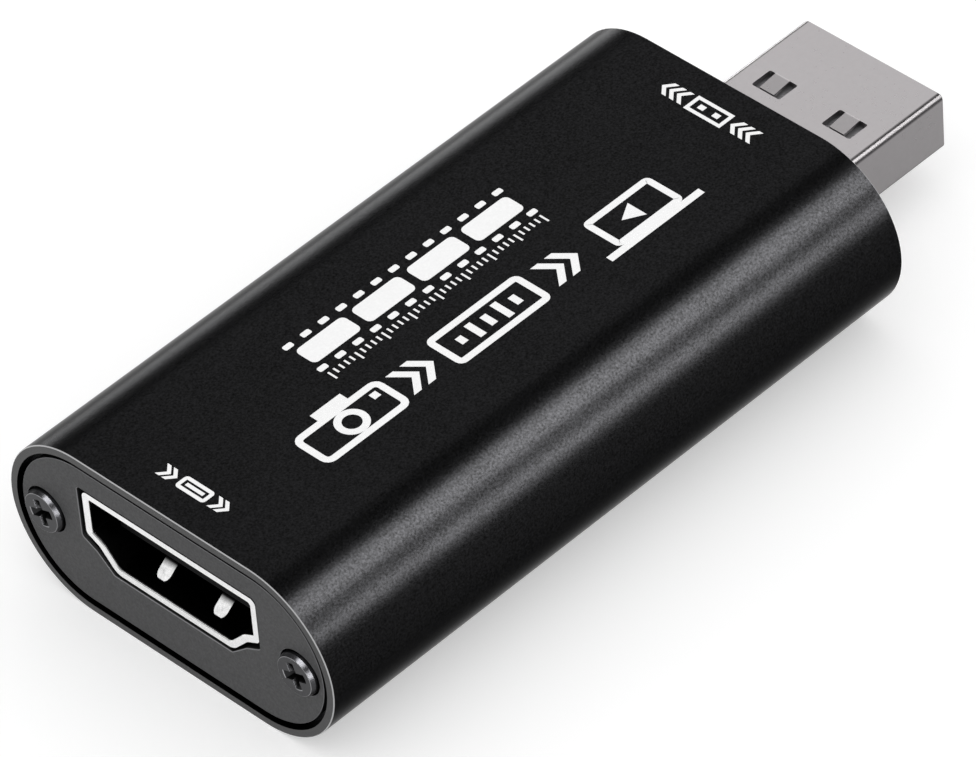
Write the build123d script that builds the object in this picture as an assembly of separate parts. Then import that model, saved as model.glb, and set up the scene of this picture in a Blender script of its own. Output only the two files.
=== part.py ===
from build123d import *
import math
import os

# Video capture box: a black extruded tube with a video socket at one end and a flat
# computer plug at the other. Millimetres. +X runs from the socket end to the plug end, +Y is
# across, +Z is up through the printed face. The origin is under the middle of the whole box,
# from the screw heads to the plug's tip, on the surface that the tube lies on.

# Overall sizes
case_length = 51.0
case_width = 28.0
case_height = 13.0
plug_reach = 13.0  # plug beyond the case
overrun = 1.0  # how far a cut runs past what it cuts

# Tube walls
case_wall = 1.2
case_edge_chamfer = 0.06
seat_wall = 0.57  # thinned rim round each end plate
screw_inset = 3.0  # from the tube's side to a screw's middle
boss_radius = 1.7
boss_web_height = 2.4
boss_slot_width = 0.9
ledge_overlap = 0.9  # under each side of the board
ledge_thickness = 0.8

# End plates
plate_thickness = 1.0
plate_recess = 0.12
plate_gap = 0.38
plate_edge_chamfer = 0.03
opening_edge_chamfer = 0.05
counterbore_depth = 0.55

# End plate screws, M2 pan heads
screw_radius = 0.95
screw_length = 5.0
screw_tip_chamfer = 0.35
screw_fit = 0.05
screw_hole_gap = 0.2
head_radius = 1.55
head_face_radius = 1.42
head_taper = 0.3  # depth over which the head narrows to its face
head_gap = 0.13
head_height = 1.0
head_edge_radius = 0.05
recess_span = 2.04
recess_arm_width = 0.62
recess_draft = 20.0  # degrees, the arms narrow inwards
recess_depth = 0.72
recess_root_radius = 0.3
recess_turn = -20.0  # degrees

# Circuit board
board_thickness = 1.2
board_side_room = 2.9  # from the tube's outside
board_guide_gap = 0.1
board_end_gap = 0.38
board_corner_radius = 0.8

# Video socket, wide side up
opening_width = 14.0
opening_height = 4.55
opening_side_height = 2.72
shoulder_inset = 0.9
shoulder_drop = 0.46
floor_inset = 2.15  # on each side
top_corner_radius = 0.2
side_corner_radius = 0.12
shoulder_radius = 1.3
floor_corner_radius = 0.6
lip_corner_growth = 0.25  # added to the two upper radii outside the lip
socket_sheet = 0.3
socket_setback = 0.1  # behind the plate's face
socket_standoff = 0.125  # above the board
socket_depth = 11.0
lip_width = 0.5
lip_depth = 0.5
lip_bevel = 0.06
opening_gap = 0.22  # plate hole round the lip
opening_corner_radius = 0.3
opening_shift = 0.12  # plate hole towards +Y of the socket's middle
opening_foot_room = 0.28  # more room under the lip's two feet
leg_length = 1.8
leg_reach = 0.5  # below the board
leg_inset = 2.6
leg_slot_gap = 0.15
insulator_fit = 0.03
insulator_block_depth = 3.6
insulator_foot_depth = 1.0
insulator_foot_inset = 1.5
insulator_foot_drop = 0.775  # below the socket's ceiling
tongue_side_gap = 1.3
tongue_thickness = 1.3
tongue_drop = 0.3  # underside below the socket's middle
tongue_setback = 1.3
tongue_nose_chamfer = 0.25

# Socket contacts, one row above the tongue and one below
upper_contact_count = 10
lower_contact_count = 9
contact_margin = 1.2  # from the tongue's side to an outer contact
contact_width = 0.3
contact_sheet = 0.2
contact_proud = 0.05
contact_setback = 0.6
contact_foot = 0.8

# Socket springs, six leaves that grip the inserted plug
spring_width = 1.05
spring_sheet = 0.25
spring_root_depth = 6.0
spring_peak_depth = 2.55
spring_peak_height = 0.62
spring_tip_depth = 1.3
spring_tip_height = -0.35
spring_bend_radius = 0.5
spring_tip_radius = 0.45
spring_side_gap = 0.2
spring_root_gap = 0.03
spring_tip_gap = 0.2
spring_offset = 2.47  # from the middle of the socket's floor and ceiling
side_spring_rise = 0.85  # above the socket's middle
board_notch_gap = 0.5  # behind the springs' roots
board_notch_side_gap = 1.0

# Computer plug
plug_width = 12.0
plug_height = 4.5
plug_sheet = 0.3
plug_corner_radius = 0.45
plug_inside = 6.6  # length of the shell inside the case
plug_mouth_chamfer = 0.1
plug_gap = 0.22  # plate hole round the plug
window_width = 2.42
window_length = 1.8
window_setback = 5.3
window_offset = 3.03
window_corner_radius = 0.15
tab_width = 1.24
tab_sheet = 0.2
tab_dip = 0.16  # how far a tab's free end is bent in
tab_end_gap = 0.26
tab_shift = 0.12  # towards +Y from the window's middle
seam_width = 0.08
seam_depth = 0.12
wing_length = 2.2
wing_reach = 1.6
wing_setback = 1.6
plug_cut_gap = 0.2
blade_thickness = 1.93
blade_setback = 0.4
blade_nose_chamfer = 0.3
plug_block_depth = 7.3
plug_block_setback = 0.3
plug_contact_width = 1.0
plug_contact_sheet = 0.25
plug_contact_proud = 0.1
plug_contact_tail = 1.9
plug_contact_setback = 1.6
plug_contact_inner = 1.0
plug_contact_outer = 3.5
pocket_width = 3.0  # hollow in the blade under each upper window
pocket_length = 3.4
pocket_depth = 0.25

# Parts on the board
chip_size = 7.0
chip_height = 1.4
chip_standoff = 0.1
chip_edge_chamfer = 0.2
chip_dot_radius = 0.4
chip_dot_depth = 0.1
chip_leads_per_side = 12
chip_lead_pitch = 0.5
chip_lead_width = 0.22
chip_lead_sheet = 0.13
chip_lead_reach = 1.0
chip_lead_foot = 0.55
chip_share = 0.46
memory_length = 4.9
memory_width = 3.9
memory_height = 1.4
memory_lead_pitch = 1.27
memory_lead_width = 0.4
memory_leads_per_side = 4
memory_gap = 0.8
memory_drop = 3.6  # from the board's middle line
crystal_length = 3.2
crystal_width = 2.5
crystal_base_height = 0.35
crystal_lid_height = 0.4
crystal_lid_inset = 0.2
crystal_gap = 0.9
crystal_rise = 3.0
regulator_length = 2.9
regulator_width = 1.6
regulator_height = 1.1
regulator_lead_pitch = 0.95
regulator_leads_per_side = 3
regulator_lead_reach = 0.6
regulator_rise = 3.8
inductor_size = 3.0
inductor_height = 1.3
inductor_corner_radius = 0.5
inductor_terminal_height = 0.15
inductor_gap = 1.0
guard_length = 2.0
guard_width = 1.25
guard_height = 0.55
guard_count = 3
guard_gap = 0.9
passive_length = 1.0
passive_width = 0.5
passive_height = 0.45
passive_end = 0.22
passive_step = 0.06  # caps stand this much round the body
passive_gap = 1.5
passive_edge_margin = 2.6  # from the board's edge

# Places that follow from the sizes above
head_proud = head_height - counterbore_depth - plate_recess
overall_length = head_proud + case_length + plug_reach
case_front = head_proud - overall_length / 2
case_back = case_front + case_length
plug_tip = overall_length / 2
case_middle_z = case_height / 2
screw_y = case_width / 2 - screw_inset
boss_bore_radius = screw_radius + screw_fit
screw_hole_radius = screw_radius + screw_hole_gap
counterbore_radius = head_radius + head_gap
board_width = case_width - 2 * board_side_room
ledge_inner_width = board_width - 2 * ledge_overlap
seat_depth = plate_recess + plate_thickness
board_top = case_middle_z - boss_radius - board_guide_gap
board_bottom = board_top - board_thickness
board_front = case_front + seat_depth + board_end_gap
board_back = case_back - seat_depth - board_end_gap
floor_width = opening_width - 2 * floor_inset
tongue_width = opening_width - 2 * tongue_side_gap
contact_pitch = (tongue_width - 2 * contact_margin) / (upper_contact_count - 1)
mouth_x = case_front + plate_recess + socket_setback
socket_back = mouth_x + socket_depth
socket_floor = board_top + socket_standoff + socket_sheet
socket_ceiling = socket_floor + opening_height
socket_middle_z = socket_floor + opening_height / 2
socket_tail = socket_back + insulator_foot_depth
spring_swing_room = spring_root_depth + board_notch_gap
board_notch_half = spring_offset + spring_width / 2 + board_notch_side_gap
plug_length = plug_reach + plug_inside
plug_back = plug_tip - plug_length
plug_inner_height = plug_height - 2 * plug_sheet
plug_inner_width = plug_width - 2 * plug_sheet
blade_bottom = board_top + plug_contact_proud
plug_ceiling = blade_bottom + blade_thickness
plug_middle_z = plug_ceiling - plug_inner_height / 2
window_middle_x = plug_tip - window_setback - window_length / 2
contact_row_width = (upper_contact_count - 1) * contact_pitch + contact_width
guard_pitch = (contact_row_width - guard_length) / (guard_count - 1)
parts_front = socket_tail + contact_sheet + contact_foot
parts_back = plug_back + plug_block_setback - plug_contact_tail
parts_length = parts_back - parts_front
chip_x = parts_front + chip_share * parts_length


def along_x(sketch, start, length):
    """Extrudes a sketch drawn as (Y, Z) from start towards +X."""
    return extrude(Plane.YZ.offset(start) * sketch, amount=length)


def block(x, y, z):
    """A box between the two values given for each of X, Y and Z."""
    size = [high - low for low, high in (x, y, z)]
    middle = [(low + high) / 2 for low, high in (x, y, z)]
    return Pos(*middle) * Box(*size)


def case_section(inset):
    """The tube's outline, drawn in by inset."""
    return Pos(0, case_middle_z) * SlotOverall(case_width - 2 * inset, case_height - 2 * inset)


def inner_radii():
    """Corner radii of the socket's opening, from its top down to its floor."""
    return [top_corner_radius, side_corner_radius, shoulder_radius, floor_corner_radius]


def lip_radii():
    """Corner radii round the outside of the socket's lip."""
    return [
        top_corner_radius + lip_corner_growth,
        side_corner_radius + lip_corner_growth,
        shoulder_radius - lip_width,
        floor_corner_radius + lip_width,
    ]


def socket_section(grow, radii, foot_room=0):
    """The socket's opening with its narrower floor, its sides moved outwards by grow."""
    half = opening_width / 2
    top = opening_height / 2
    side = top - opening_side_height - foot_room
    right = [
        (half, top),
        (half, side),
        (half - shoulder_inset, side - shoulder_drop),
        (floor_width / 2, -top),
    ]
    left = [(-y, z) for y, z in reversed(right)]
    outline = make_face(Polyline(*right, *left, close=True))
    if grow:
        outline = offset(outline, grow, kind=Kind.INTERSECTION)
    corners = [(v.X, v.Y) for v in outline.vertices().sort_by(Axis.Y, reverse=True)]
    for pair, radius in zip(zip(corners[::2], corners[1::2]), radii):
        near = [outline.vertices().sort_by_distance(corner)[0] for corner in pair]
        outline = fillet(near, radius)
    return Pos(0, socket_middle_z) * outline


def plug_section(grow):
    """The plug's outer outline, offset outwards by grow."""
    outline = RectangleRounded(
        plug_width + 2 * grow, plug_height + 2 * grow, plug_corner_radius + grow
    )
    return Pos(0, plug_middle_z) * outline


def mirrored(sketch):
    """A sketch drawn as (Y, Z) and its twin across Y = 0."""
    return sketch + mirror(sketch, about=Plane.YZ)


def outer_shell():
    tube = along_x(case_section(0), case_front, case_length)
    ends = tube.faces().filter_by(Axis.X)
    tube = chamfer([edge for face in ends for edge in face.edges()], case_edge_chamfer)
    web_reach = case_width / 2 - case_wall / 2 - screw_y
    web = Pos(screw_y + web_reach / 2, case_middle_z) * Rectangle(web_reach, boss_web_height)
    boss = Pos(screw_y, case_middle_z) * Circle(boss_radius) + web
    ledge_top = board_bottom - board_guide_gap
    ledge_reach = (case_width - ledge_inner_width) / 2
    ledge = Pos(ledge_inner_width / 2 + ledge_reach / 2, ledge_top - ledge_thickness / 2)
    ledge *= Rectangle(ledge_reach, ledge_thickness)
    bore = Pos(screw_y, case_middle_z) * Circle(boss_bore_radius)
    slot_reach = boss_radius + overrun
    slot = Pos(screw_y - slot_reach / 2, case_middle_z) * Rectangle(slot_reach, boss_slot_width)
    hollow = case_section(case_wall) - mirrored(boss) - mirrored(ledge)
    hollow += mirrored(bore)
    hollow += mirrored(slot)
    tube -= along_x(hollow, case_front - overrun, case_length + 2 * overrun)
    seat = case_section(seat_wall)
    tube -= along_x(seat, case_front - overrun, overrun + seat_depth)
    tube -= along_x(seat, case_back - seat_depth, overrun + seat_depth)
    return tube


def plate_opening():
    """The hole round the socket's lip, with the same radius at every corner."""
    radii = [opening_corner_radius] * len(inner_radii())
    return socket_section(lip_width + opening_gap, radii, opening_foot_room)


def end_plate(opening, outer_x, inward):
    """A plate whose outer face is at outer_x; inward is +1 or -1 along X."""
    low = min(outer_x, outer_x + inward * plate_thickness)
    outline = case_section(seat_wall + plate_gap)
    plate = along_x(outline, low, plate_thickness)
    outer = plate.faces().filter_by(Axis.X).sort_by(Axis.X)[0 if inward > 0 else -1]
    plate = chamfer(outer.edges(), plate_edge_chamfer)
    plate -= along_x(opening, low - overrun, plate_thickness + 2 * overrun)
    screw = Pos(screw_y, case_middle_z) * Circle(screw_hole_radius)
    plate -= along_x(mirrored(screw), low - overrun, plate_thickness + 2 * overrun)
    bore = Pos(screw_y, case_middle_z) * Circle(counterbore_radius)
    bore_low = min(outer_x - inward * overrun, outer_x + inward * counterbore_depth)
    plate -= along_x(mirrored(bore), bore_low, counterbore_depth + overrun)
    outer = plate.faces().filter_by(Axis.X).sort_by(Axis.X)[0 if inward > 0 else -1]
    rims = [edge for wire in outer.inner_wires() for edge in wire.edges()]
    return chamfer(rims, opening_edge_chamfer)


def screw():
    """A screw with its head's seat at the origin and its shank along +X."""
    profile = [
        (0, 0),
        (0, head_radius),
        (head_taper - head_height, head_radius),
        (-head_height, head_face_radius),
        (-head_height, 0),
    ]
    head = revolve(make_face(Polyline(*profile, close=True)), axis=Axis.X)
    rim = head.edges().filter_by(GeomType.CIRCLE).sort_by(Axis.X)[0]
    head = fillet(rim, head_edge_radius)
    arm = Plane.YZ.offset(-head_height) * Rectangle(recess_span, recess_arm_width)
    arm = extrude(arm, amount=recess_depth, taper=recess_draft)
    cross = Rot(recess_turn, 0, 0) * (arm + Rot(90, 0, 0) * arm)
    cone = Pos(-head_height + recess_depth / 2, 0, 0) * Rot(0, 90, 0)
    cone *= Cone(recess_span / 2, recess_root_radius, recess_depth)
    head -= cross & cone
    shank = along_x(Circle(screw_radius), 0, screw_length)
    tip = shank.edges().filter_by(GeomType.CIRCLE).sort_by(Axis.X)[-1]
    return head + chamfer(tip, screw_tip_chamfer)


def screw_pair(outer_x, inward):
    """The two screws of one end plate, each its own solid."""
    seat_x = outer_x + inward * counterbore_depth
    turn = Rot(0, 0, 0) if inward > 0 else Rot(0, 0, 180)
    places = [Pos(seat_x, y, case_middle_z) for y in (screw_y, -screw_y)]
    return Compound(children=[place * turn * screw() for place in places])


def socket_shell():
    shell = along_x(socket_section(socket_sheet, lip_radii()), mouth_x, socket_depth)
    shell += along_x(socket_section(lip_width, lip_radii()), mouth_x, lip_depth)
    inside = socket_section(0, inner_radii())
    shell -= along_x(inside, mouth_x - overrun, socket_depth + 2 * overrun)
    front = shell.faces().filter_by(Axis.X).sort_by(Axis.X)[0]
    shell = chamfer(front.inner_wires()[0].edges(), lip_bevel)
    wall = opening_width / 2
    for start in leg_starts():
        for side in (1, -1):
            across = sorted((side * wall, side * (wall + socket_sheet)))
            upright = (board_bottom - leg_reach, socket_middle_z)
            shell += block((start, start + leg_length), across, upright)
    for place in spring_places().values():
        shell -= place * spring_window()
    return shell


def leg_starts():
    """Where the socket's legs begin along X: one pair in front and one behind."""
    return (mouth_x + leg_inset, socket_back - leg_inset)


def socket_contacts(count, row_z):
    """A row of contacts whose blades lie at row_z, low side first."""
    blade_start = mouth_x + tongue_setback + contact_setback
    leg_end = socket_tail + contact_sheet
    row = []
    for index in range(count):
        middle = (index - (count - 1) / 2) * contact_pitch
        across = (middle - contact_width / 2, middle + contact_width / 2)
        blade = block((blade_start, leg_end), across, (row_z, row_z + contact_sheet))
        leg = block((socket_tail, leg_end), across, (board_top, row_z + contact_sheet))
        foot = block(
            (socket_tail, leg_end + contact_foot), across, (board_top, board_top + contact_sheet)
        )
        row.append(blade + leg + foot)
    return Compound(children=row)


def tongue_heights():
    """The tongue's underside and top."""
    bottom = socket_middle_z - tongue_drop
    return bottom, bottom + tongue_thickness


def upper_contacts():
    top = tongue_heights()[1]
    return socket_contacts(upper_contact_count, top + contact_proud - contact_sheet)


def lower_contacts():
    bottom = tongue_heights()[0]
    return socket_contacts(lower_contact_count, bottom - contact_proud)


def socket_insulator():
    bottom, top = tongue_heights()
    half = tongue_width / 2
    nose = mouth_x + tongue_setback
    tongue = block((nose, socket_back), (-half, half), (bottom, top))
    front = tongue.faces().sort_by(Axis.X)[0]
    tongue = chamfer(front.edges().filter_by(Axis.Y), tongue_nose_chamfer)
    rear = along_x(
        socket_section(-insulator_fit, inner_radii()),
        socket_back - insulator_block_depth,
        insulator_block_depth,
    )
    foot_half = opening_width / 2 - insulator_foot_inset
    foot_top = socket_ceiling - insulator_foot_drop
    foot = block((socket_back, socket_tail), (-foot_half, foot_half), (board_top, foot_top))
    body = rear + tongue + foot
    for contact in upper_contacts().solids() + lower_contacts().solids():
        body -= contact
    return body


def spring():
    """A leaf along +X with its hinge at the socket's inner wall; inwards is +Z."""
    root = (spring_root_depth, -socket_sheet / 2)
    peak = (spring_peak_depth, spring_peak_height)
    tip = (spring_tip_depth, spring_tip_height)
    path = FilletPolyline(root, peak, tip, radius=spring_bend_radius)
    round_end = Circle(spring_sheet / 2)
    profile = trace(path, spring_sheet) + Pos(*root) * round_end + Pos(*tip) * round_end
    leaf = Rot(90, 0, 0) * extrude(profile, amount=spring_width / 2, both=True)
    tip_end = spring_tip_depth - spring_sheet / 2
    root_end = spring_root_depth + spring_sheet
    plan = Pos((tip_end + root_end) / 2, 0) * Rectangle(root_end - tip_end, spring_width)
    plan = fillet(plan.vertices().sort_by(Axis.X)[:2], spring_tip_radius)
    return leaf & extrude(plan, amount=opening_height / 2, both=True)


def spring_window():
    """The slot in the socket's wall that a spring moves in."""
    tip_end = spring_tip_depth - spring_sheet / 2 - spring_tip_gap
    root_end = spring_root_depth + spring_sheet / 2 + spring_root_gap
    half = spring_width / 2 + spring_side_gap
    return block((tip_end, root_end), (-half, half), (-socket_sheet * 2, socket_sheet))


def spring_places():
    """Where each spring sits: on the ceiling, the floor and the two sides."""
    wall = opening_width / 2
    side_z = socket_middle_z + side_spring_rise
    return {
        "upper_spring_left": Location((mouth_x, spring_offset, socket_ceiling), (180, 0, 0)),
        "upper_spring_right": Location((mouth_x, -spring_offset, socket_ceiling), (180, 0, 0)),
        "lower_spring_left": Location((mouth_x, spring_offset, socket_floor), (0, 0, 0)),
        "lower_spring_right": Location((mouth_x, -spring_offset, socket_floor), (0, 0, 0)),
        "side_spring_left": Location((mouth_x, wall, side_z), (90, 0, 0)),
        "side_spring_right": Location((mouth_x, -wall, side_z), (-90, 0, 0)),
    }


def circuit_board():
    middle = (board_front + board_back) / 2
    sheet = Pos(middle, 0) * RectangleRounded(
        board_back - board_front, board_width, board_corner_radius
    )
    board = extrude(Plane.XY.offset(board_bottom) * sheet, amount=board_thickness)
    through = (board_bottom - overrun, board_top + overrun)
    board -= block(
        (board_front - overrun, mouth_x + spring_swing_room),
        (-board_notch_half, board_notch_half),
        through,
    )
    cut_half = plug_width / 2 + plug_cut_gap
    board -= block(
        (plug_back - plug_cut_gap, board_back + overrun), (-cut_half, cut_half), through
    )
    wall = opening_width / 2
    for start in leg_starts():
        for side in (1, -1):
            across = sorted(
                (side * (wall - leg_slot_gap), side * (wall + socket_sheet + leg_slot_gap))
            )
            along = (start - leg_slot_gap, start + leg_length + leg_slot_gap)
            board -= block(along, across, through)
    return board


def plug_shell():
    shell = along_x(plug_section(0), plug_back, plug_length)
    shell -= along_x(plug_section(-plug_sheet), plug_back - overrun, plug_length + 2 * overrun)
    mouth = shell.faces().filter_by(Axis.X).sort_by(Axis.X)[-1]
    shell = chamfer(mouth.outer_wire().edges(), plug_mouth_chamfer)
    window = RectangleRounded(window_length, window_width, window_corner_radius)
    for side in (1, -1):
        place = Plane.XY.offset(plug_middle_z) * Pos(window_middle_x, side * window_offset)
        shell -= extrude(place * window, amount=plug_height, both=True)
        for face in (1, -1):
            shell += window_tab(side, face)
    plug_bottom = plug_middle_z - plug_height / 2
    seam = (plug_bottom - overrun, plug_bottom + seam_depth)
    seam_half = seam_width / 2
    shell -= block((plug_back - overrun, plug_tip + overrun), (-seam_half, seam_half), seam)
    wing_start = plug_back + wing_setback
    for side in (1, -1):
        inner = plug_width / 2 - plug_sheet
        across = sorted((side * inner, side * (plug_width / 2 + wing_reach)))
        upright = (board_top, board_top + plug_sheet)
        shell += block((wing_start, wing_start + wing_length), across, upright)
    return shell


def window_tab(side, face):
    """A tab that the sheet leaves in a window, joined at the edge nearer to the tip."""
    edge = window_middle_x + window_length / 2
    end = edge - window_length + tab_end_gap
    top = plug_height / 2
    profile = [
        (edge + tab_sheet, top),
        (edge, top),
        (end, top - tab_dip),
        (end, top - tab_dip - tab_sheet),
        (edge + tab_sheet, top - tab_sheet),
    ]
    tab = make_face(Polyline(*[(x, face * z) for x, z in profile], close=True))
    tab = Pos(0, side * window_offset + tab_shift, plug_middle_z) * Rot(90, 0, 0) * tab
    return extrude(tab, amount=tab_width / 2, both=True)


def contact_rows():
    """The plug contacts' places across the plug."""
    return (-plug_contact_outer, -plug_contact_inner, plug_contact_inner, plug_contact_outer)


def plug_contacts():
    """Four straight strips that end as tails on the board."""
    start = plug_back + plug_block_setback - plug_contact_tail
    end = plug_tip - blade_setback - plug_contact_setback
    half = plug_contact_width / 2
    upright = (board_top, board_top + plug_contact_sheet)
    strips = [block((start, end), (y - half, y + half), upright) for y in contact_rows()]
    return Compound(children=strips)


def plug_insulator():
    start = plug_back + plug_block_setback
    section = Pos(0, plug_middle_z) * RectangleRounded(
        plug_inner_width - 2 * insulator_fit,
        plug_inner_height - 2 * insulator_fit,
        plug_corner_radius - plug_sheet,
    )
    body = along_x(section, start, plug_block_depth)
    blade_end = plug_tip - blade_setback
    half = plug_inner_width / 2 - insulator_fit
    blade_top = plug_ceiling - insulator_fit
    blade = block((start, blade_end), (-half, half), (blade_bottom, blade_top))
    nose = blade.faces().sort_by(Axis.X)[-1]
    blade = chamfer(nose.edges().sort_by(Axis.Z)[0], blade_nose_chamfer)
    body += blade & along_x(section, start, plug_length)
    along = (window_middle_x - pocket_length / 2, window_middle_x + pocket_length / 2)
    for side in (1, -1):
        middle = side * window_offset
        across = (middle - pocket_width / 2, middle + pocket_width / 2)
        body -= block(along, across, (blade_top - pocket_depth, blade_top + overrun))
    for contact in plug_contacts().solids():
        body -= contact
    return body


def on_board(x, y):
    return Pos(x, y, board_top)


def video_chip():
    body = Box(chip_size, chip_size, chip_height - chip_standoff)
    body = chamfer(body.faces().sort_by(Axis.Z)[-1].edges(), chip_edge_chamfer)
    body = Pos(0, 0, (chip_height + chip_standoff) / 2) * body
    dot_place = -chip_size / 2 + 2 * chip_dot_radius + chip_edge_chamfer
    dot = Pos(dot_place, dot_place, chip_height) * Cylinder(chip_dot_radius, 2 * chip_dot_depth)
    return on_board(chip_x, 0) * (body - dot)


def gull_lead(edge, middle, width, sheet, reach, foot, rise):
    """One bent lead that leaves a body's edge along +X and stands on the board."""
    across = (middle - width / 2, middle + width / 2)
    shoulder = block((edge, edge + reach - foot), across, (rise, rise + sheet))
    riser = block((edge + reach - foot - sheet, edge + reach - foot), across, (0, rise + sheet))
    sole = block((edge + reach - foot - sheet, edge + reach), across, (0, sheet))
    return shoulder + riser + sole


def video_chip_leads():
    leads = []
    for side in range(4):
        for index in range(chip_leads_per_side):
            middle = (index - (chip_leads_per_side - 1) / 2) * chip_lead_pitch
            lead = gull_lead(
                chip_size / 2,
                middle,
                chip_lead_width,
                chip_lead_sheet,
                chip_lead_reach,
                chip_lead_foot,
                chip_height / 2,
            )
            leads.append(on_board(chip_x, 0) * Rot(0, 0, 90 * side) * lead)
    return Compound(children=leads)


def memory_place():
    beyond = chip_size / 2 + chip_lead_reach + memory_gap + memory_length / 2
    return on_board(chip_x + beyond, -memory_drop)


def small_chip(length, width, height):
    body = Box(length, width, height - chip_standoff)
    body = chamfer(body.faces().sort_by(Axis.Z)[-1].edges(), chip_standoff)
    return Pos(0, 0, (height + chip_standoff) / 2) * body


def side_leads(width, per_side, pitch, lead_width, reach, height):
    """Leads on the two long sides of a small chip whose length runs along X."""
    leads = []
    for turn in (90, -90):
        for index in range(per_side):
            middle = (index - (per_side - 1) / 2) * pitch
            lead = gull_lead(
                width / 2, middle, lead_width, chip_lead_sheet, reach, reach / 2, height / 2
            )
            leads.append(Rot(0, 0, turn) * lead)
    return leads


def memory_chip():
    return memory_place() * small_chip(memory_length, memory_width, memory_height)


def memory_chip_leads():
    leads = side_leads(
        memory_width,
        memory_leads_per_side,
        memory_lead_pitch,
        memory_lead_width,
        chip_lead_reach,
        memory_height,
    )
    return Compound(children=[memory_place() * lead for lead in leads])


def crystal_place():
    x = parts_front + guard_gap + guard_width + crystal_gap + crystal_length / 2
    return on_board(x, crystal_rise)


def crystal_base():
    base = Pos(0, 0, crystal_base_height / 2) * Box(
        crystal_length, crystal_width, crystal_base_height
    )
    return crystal_place() * base


def crystal_lid():
    lid = Box(
        crystal_length - 2 * crystal_lid_inset,
        crystal_width - 2 * crystal_lid_inset,
        crystal_lid_height,
    )
    lid = fillet(lid.edges().filter_by(Axis.Z), crystal_lid_inset)
    return crystal_place() * (Pos(0, 0, crystal_base_height + crystal_lid_height / 2) * lid)


def regulator_place():
    beyond = chip_size / 2 + chip_lead_reach + memory_gap + regulator_length / 2
    return on_board(chip_x + beyond, regulator_rise)


def voltage_regulator():
    return regulator_place() * small_chip(regulator_length, regulator_width, regulator_height)


def regulator_leads():
    leads = side_leads(
        regulator_width,
        regulator_leads_per_side,
        regulator_lead_pitch,
        memory_lead_width,
        regulator_lead_reach,
        regulator_height,
    )
    return Compound(children=[regulator_place() * lead for lead in leads])


def inductor_place():
    return on_board(parts_back - inductor_gap - inductor_size / 2, 0)


def power_inductor():
    sketch = RectangleRounded(inductor_size, inductor_size, inductor_corner_radius)
    body = extrude(
        Plane.XY.offset(inductor_terminal_height) * sketch,
        amount=inductor_height - inductor_terminal_height,
    )
    return inductor_place() * body


def inductor_terminals():
    """Two metal ends under the inductor."""
    pads = []
    half = inductor_size / 2
    for side in (1, -1):
        along = sorted((side * half, side * (half - inductor_corner_radius)))
        inner = half - inductor_corner_radius
        pads.append(block(along, (-inner, inner), (0, inductor_terminal_height)))
    return Compound(children=[inductor_place() * pad for pad in pads])


def surge_guards():
    """Small arrays that protect the socket's signal lines."""
    x = parts_front + guard_gap + guard_width / 2
    guards = []
    for index in range(guard_count):
        y = (index - (guard_count - 1) / 2) * guard_pitch
        body = Pos(0, 0, guard_height / 2) * Box(guard_width, guard_length, guard_height)
        guards.append(on_board(x, y) * body)
    return Compound(children=guards)


def passive_places():
    """Where the small two-ended parts stand: (x, y, turn) round the chip."""
    near = chip_size / 2 + chip_lead_reach + passive_gap / 2
    edge = board_width / 2 - passive_edge_margin
    places = [(chip_x + index * passive_gap, near, 90) for index in range(3)]
    places += [(chip_x - near - passive_length, index * passive_gap, 0) for index in (-2, -1, 1, 2)]
    places += [(chip_x - index * passive_gap, -near, 90) for index in range(4)]
    places += [(chip_x - index * passive_gap, -edge, 90) for index in range(6)]
    return places


def passive_bodies(places):
    length = passive_length - 2 * passive_end
    height = passive_height - passive_step
    body = Pos(0, 0, height / 2) * Box(length, passive_width - passive_step, height)
    return Compound(children=[on_board(x, y) * Rot(0, 0, turn) * body for x, y, turn in places])


def passive_ends():
    ends = []
    for x, y, turn in passive_places():
        for side in (1, -1):
            middle = side * (passive_length - passive_end) / 2
            end = Pos(middle, 0, passive_height / 2) * Box(
                passive_end, passive_width, passive_height
            )
            ends.append(on_board(x, y) * Rot(0, 0, turn) * end)
    return Compound(children=ends)


def nodes():
    """Every separate piece, by the name that a person would use."""
    places = passive_places()
    pieces = {
        "outer_shell": outer_shell(),
        "input_end_plate": end_plate(
            Pos(opening_shift, 0) * plate_opening(), case_front + plate_recess, 1
        ),
        "output_end_plate": end_plate(plug_section(plug_gap), case_back - plate_recess, -1),
        "input_plate_screws": screw_pair(case_front + plate_recess, 1),
        "output_plate_screws": screw_pair(case_back - plate_recess, -1),
        "circuit_board": circuit_board(),
        "socket_shell": socket_shell(),
        "socket_insulator": socket_insulator(),
        "socket_upper_contacts": upper_contacts(),
        "socket_lower_contacts": lower_contacts(),
        "plug_shell": plug_shell(),
        "plug_insulator": plug_insulator(),
        "plug_contacts": plug_contacts(),
        "video_chip": video_chip(),
        "video_chip_leads": video_chip_leads(),
        "memory_chip": memory_chip(),
        "memory_chip_leads": memory_chip_leads(),
        "crystal_base": crystal_base(),
        "crystal_lid": crystal_lid(),
        "voltage_regulator": voltage_regulator(),
        "regulator_leads": regulator_leads(),
        "power_inductor": power_inductor(),
        "inductor_terminals": inductor_terminals(),
        "surge_guards": surge_guards(),
        "capacitors": passive_bodies(places[::2]),
        "resistors": passive_bodies(places[1::2]),
        "solder_caps": passive_ends(),
    }
    for name, place in spring_places().items():
        pieces[name] = place * spring()
    return pieces


os.makedirs("parts", exist_ok=True)
for node, shape in nodes().items():
    export_step(shape, f"parts/{node}.step")
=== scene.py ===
import bpy
import math
from mathutils import Matrix, Vector


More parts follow.
